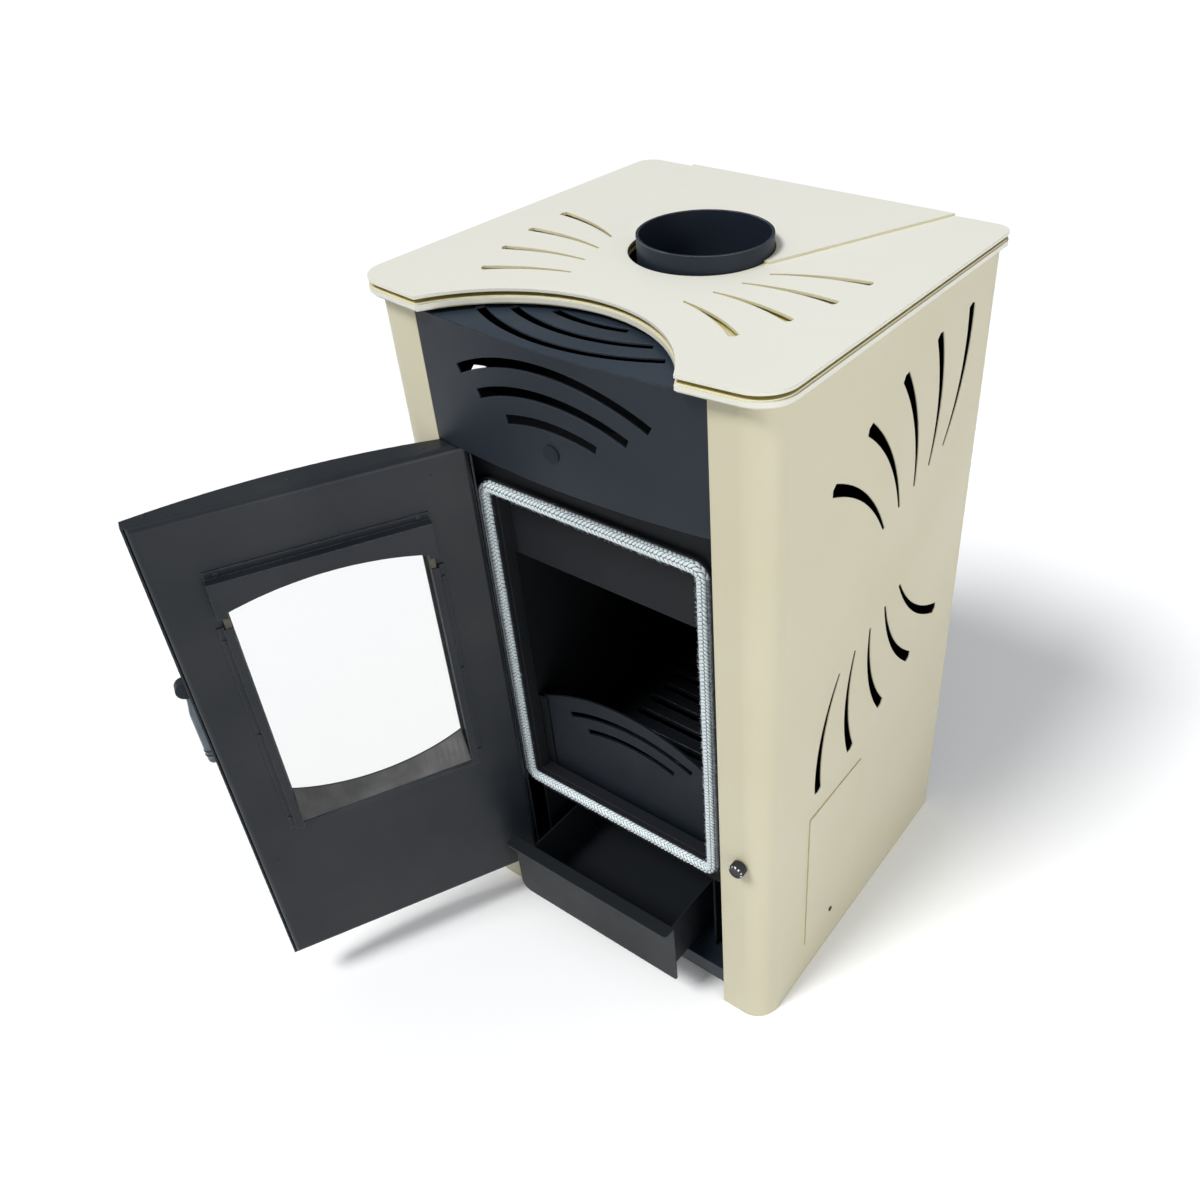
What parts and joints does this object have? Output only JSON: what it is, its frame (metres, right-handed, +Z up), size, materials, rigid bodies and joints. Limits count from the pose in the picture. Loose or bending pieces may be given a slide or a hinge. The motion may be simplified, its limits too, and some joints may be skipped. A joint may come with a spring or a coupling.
{
  "type": "wood-burning stove",
  "caption": "Freestanding cream steel wood stove with a bitten top, a bowed glazed door standing open, an ash drawer, a grate, vent slots and a top flue collar.",
  "frame": {"origin": "on the floor, midway between the sides and 233 mm behind the top's front corners", "axes": "+Z up through the flue collar, -Y out of the firebox's mouth, +X to the viewer's right when facing it"},
  "size_m": [0.5531, 0.7159, 0.857],
  "materials": {
    "casing": "satin cream enamel",
    "black": "matt dark grey stove paint",
    "soot": "matt black stove paint",
    "iron": "rough cast",
    "rope": "braided glass rope",
    "zinc": "zinc plated",
    "chrome": "polished",
    "glass": "clear ceramic glass",
    "board": "matt insulating board",
    "tape": "woven glass-fibre tape"
  },
  "bodies": {
    "stove": {"left_side_panel": "casing", "right_side_panel": "casing", "rear_panel": "black", "rear_panel_screws": "zinc", "base_plate": "black", "cornice_plate": "casing", "top_spacers": "zinc", "top_plate": "casing", "flue_collar": "black", "hood_front": "black", "hood_grille": "black", "hood_plug": "black", "access_cover": "casing", "access_screw": "black", "front_plate": "black", "rope_channel": "black", "rope_seal": "rope", "latch_keeper": "zinc", "upper_hinge_bracket": "black", "lower_hinge_bracket": "black", "hinge_pins": "zinc", "hinge_washer": "zinc", "firebox_left_wall": "soot", "firebox_right_wall": "soot", "firebox_back_wall": "soot", "firebox_roof": "black", "hearth_plate": "soot", "grate": "iron", "fence_holders": "soot", "drop_baffle": "black", "smoke_baffle": "board", "baffle_ledges": "soot", "drawer_runners": "zinc", "air_duct": "soot"},
    "flue_cover": {"flue_cover": "casing"},
    "fence": {"log_fence": "soot"},
    "door": {"door_panel": "black", "door_tray": "black", "door_bushes": "zinc", "door_glass": "glass", "glass_tapes": "tape", "glass_strip_left": "black", "glass_strip_right": "black", "air_deflector": "black", "door_screws": "black", "spindle_bush": "black"},
    "handle": {"handle_spindle": "zinc", "handle_hub": "black", "handle_grip": "chrome", "latch_tongue": "zinc"},
    "drawer": {"drawer_tray": "black", "drawer_front": "black"},
    "air_control": {"air_spindle": "zinc", "air_shutter": "zinc", "air_knob": "black"}
  },
  "joints": [
    {"name": "door_swing", "type": "hinge", "parent": "stove", "child": "door", "pos_m": [-0.1483, -0.2114, 0.37], "axis": [0, 0, 1], "range_deg": [0, 117]},
    {"name": "handle_turn", "type": "hinge", "parent": "door", "child": "handle", "pos_m": [-0.30384, -0.46469, 0.475], "axis": [-0.891, 0.454, 0], "range_deg": [0, 70]},
    {"name": "drawer_slide", "type": "slide", "parent": "stove", "child": "drawer", "axis": [0, 1, 0], "range_m": [0, 0.0775]},
    {"name": "air_knob_turn", "type": "hinge", "parent": "stove", "child": "air_control", "pos_m": [0.194, -0.22, 0.275], "axis": [0, -1, 0], "range_deg": [0, 90]},
    {"name": "flue_cover_lift", "type": "slide", "parent": "stove", "child": "flue_cover", "axis": [0, 0, 1], "range_m": [0, 0.12]},
    {"name": "fence_lift", "type": "slide", "parent": "stove", "child": "fence", "axis": [0, 0, 1], "range_m": [0, 0.1]}
  ],
  "couplings": [
    {"joint": "drawer_slide", "follows": "door_swing", "m_per_rad": 0.037707}
  ]
}
